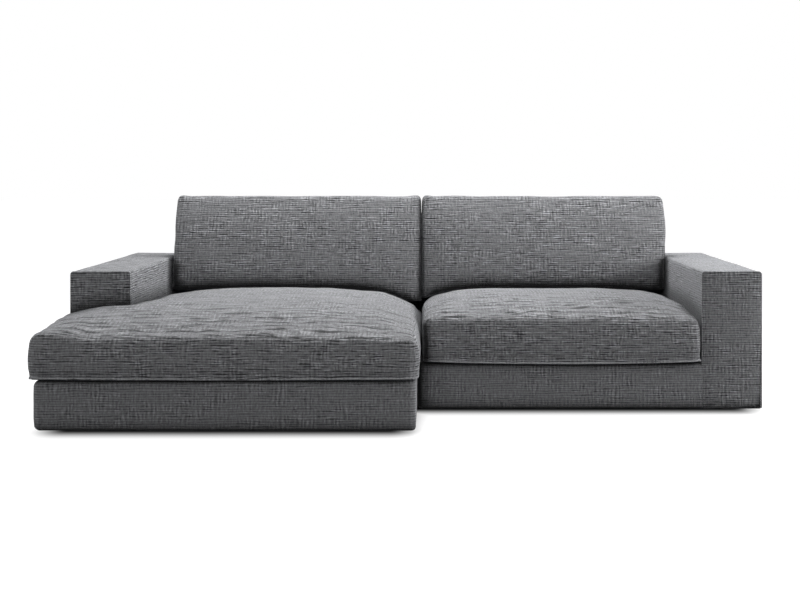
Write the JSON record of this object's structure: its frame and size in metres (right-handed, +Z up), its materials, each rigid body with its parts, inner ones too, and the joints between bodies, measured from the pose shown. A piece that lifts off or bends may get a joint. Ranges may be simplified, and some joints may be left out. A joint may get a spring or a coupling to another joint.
{
  "type": "corner sofa",
  "caption": "Modular corner sofa: a chaise module joined to a seat module, with low box arms, loose crowned seat cushions and tall leaning boxed back cushions.",
  "frame": {"origin": "on the floor, under the middle of the sofa's bounding box", "axes": "+X along the backrest to the sitter's left arm, the seat module's end, +Y from the front to the back, +Z up"},
  "size_m": [2.936, 1.5723, 0.8918],
  "materials": {
    "upholstery": "slubby grey chenille",
    "foam": "upholstery foam and fibre",
    "timber": "bare planed softwood and plywood",
    "webbing": "elastic woven webbing",
    "platform_cloth": "padded black platform cloth",
    "dust_cloth": "black non-woven cloth",
    "feet": "black moulded plastic",
    "zip": "grey woven tape with a nylon coil",
    "zip_slider": "grey enamelled zinc",
    "steel": "zinc-plated steel"
  },
  "bodies": {
    "seat_module": {"connector_pins": "steel", "seat_arm_bolts": "steel", "seat_arm_cover": "upholstery", "seat_arm_frame": "timber", "seat_back_border": "upholstery", "seat_back_cover": "upholstery", "seat_back_frame": "timber", "seat_back_rail": "timber", "seat_corner_blocks": "timber", "seat_deck": "platform_cloth", "seat_dust_cloth": "dust_cloth", "seat_feet": "feet", "seat_front_border": "upholstery", "seat_front_rail": "timber", "seat_inner_border": "upholstery", "seat_inner_rail": "timber", "seat_outer_rail": "timber", "seat_webbing": "webbing", "seat_webbing_rail": "timber"},
    "chaise_module": {"chaise_arm_bolts": "steel", "chaise_arm_cover": "upholstery", "chaise_arm_frame": "timber", "chaise_back_border": "upholstery", "chaise_back_cover": "upholstery", "chaise_back_frame": "timber", "chaise_back_rail": "timber", "chaise_corner_blocks": "timber", "chaise_deck": "platform_cloth", "chaise_dust_cloth": "dust_cloth", "chaise_feet": "feet", "chaise_front_border": "upholstery", "chaise_front_rail": "timber", "chaise_inner_border": "upholstery", "chaise_inner_rail": "timber", "chaise_outer_rail": "timber", "chaise_shoulder_rail": "timber", "chaise_webbing": "webbing", "chaise_webbing_rail": "timber", "chaise_wing_border": "upholstery", "chaise_wing_deck": "platform_cloth", "chaise_wing_dust_cloth": "dust_cloth", "chaise_wing_rail": "timber", "connector_claws": "steel"},
    "chaise_seat_cushion": {"chaise_cushion_core": "foam", "chaise_cushion_cover": "upholstery", "chaise_wing_core": "foam", "chaise_zip": "zip"},
    "chaise_back_cushion": {"chaise_back_cushion_core": "foam", "chaise_back_cushion_cover": "upholstery"},
    "seat_cushion": {"seat_cushion_core": "foam", "seat_cushion_cover": "upholstery", "seat_zip": "zip"},
    "seat_back_cushion": {"seat_back_cushion_core": "foam", "seat_back_cushion_cover": "upholstery"},
    "chaise_zip_slider": {"chaise_zip_slider": "zip_slider"},
    "seat_zip_slider": {"seat_zip_slider": "zip_slider"}
  },
  "joints": [
    {"name": "chaise_pull_apart", "type": "slide", "parent": "seat_module", "child": "chaise_module", "axis": [-1, 0, 0], "range_m": [0, 0.25]},
    {"name": "chaise_seat_cushion_pull", "type": "slide", "parent": "chaise_module", "child": "chaise_seat_cushion", "axis": [0, -1, 0], "range_m": [0, 0.4]},
    {"name": "seat_cushion_pull", "type": "slide", "parent": "seat_module", "child": "seat_cushion", "axis": [0, -1, 0], "range_m": [0, 0.4]},
    {"name": "chaise_back_cushion_lift", "type": "slide", "parent": "chaise_module", "child": "chaise_back_cushion", "axis": [0, 0, 1], "range_m": [0, 0.5]},
    {"name": "seat_back_cushion_lift", "type": "slide", "parent": "seat_module", "child": "seat_back_cushion", "axis": [0, 0, 1], "range_m": [0, 0.5]},
    {"name": "chaise_zip_run", "type": "slide", "parent": "chaise_seat_cushion", "child": "chaise_zip_slider", "axis": [-1, 0, 0], "range_m": [0, 0.85]},
    {"name": "seat_zip_run", "type": "slide", "parent": "seat_cushion", "child": "seat_zip_slider", "axis": [1, 0, 0], "range_m": [0, 0.85]}
  ]
}
